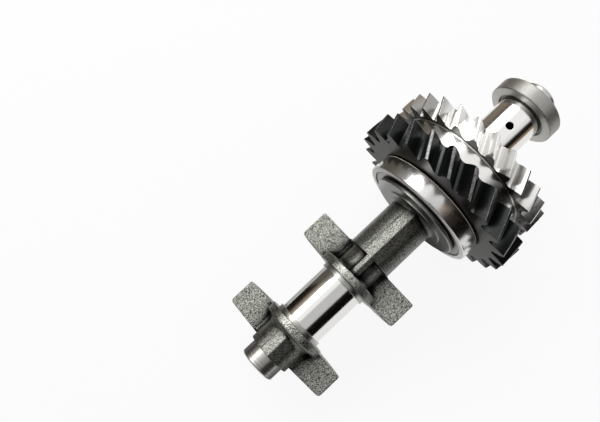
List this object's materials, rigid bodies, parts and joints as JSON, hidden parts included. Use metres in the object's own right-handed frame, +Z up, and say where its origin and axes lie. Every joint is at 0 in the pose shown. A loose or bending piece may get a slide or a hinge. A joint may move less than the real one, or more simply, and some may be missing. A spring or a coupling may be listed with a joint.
{
  "type": "balance shaft",
  "caption": "Engine balance shaft with half-disc counterweights, shielded ball bearing, helical driven and transfer gears, ground journals and a pressed-on thrust collar.",
  "frame": {"origin": "centre of the bounding box on the floor, with the shaft lying at rest on two driven-gear teeth and the front counterweight", "axes": "+X along the shaft from the counterweights to the thrust collar, +Z up; the shaft's own axis rises 7.36 degrees towards +X"},
  "size_m": [0.1962, 0.0922, 0.0926],
  "materials": {
    "cast_shaft": "shot-blasted casting with mirror-ground journals and turned ends",
    "bearing_steel": "ground, polished",
    "shield_steel": "pressed sheet, satin",
    "cage_brass": "machined",
    "dark_gear": "phosphated satin black",
    "bright_gear": "ground",
    "collar_steel": "turned satin"
  },
  "bodies": {
    "rotor": {"shaft": "cast_shaft", "bearing_inner_ring": "bearing_steel", "driven_gear": "dark_gear", "transfer_gear": "bright_gear", "thrust_collar": "collar_steel"},
    "bearing_outer": {"bearing_outer_ring": "bearing_steel", "bearing_front_shield": "shield_steel", "bearing_rear_shield": "shield_steel"},
    "ball_set": {"bearing_cage": "cage_brass", "bearing_balls": "bearing_steel"}
  },
  "joints": [
    {"name": "bearing_spin", "type": "hinge", "parent": "rotor", "child": "bearing_outer", "pos_m": [0.01343, 0, 0.04469], "axis": [0.9918, 0, 0.128], "continuous": true},
    {"name": "cage_orbit", "type": "hinge", "parent": "rotor", "child": "ball_set", "pos_m": [0.01343, 0, 0.04469], "axis": [0.9918, 0, 0.128], "continuous": true}
  ],
  "couplings": [
    {"joint": "cage_orbit", "follows": "bearing_spin", "ratio": 0.5573}
  ]
}
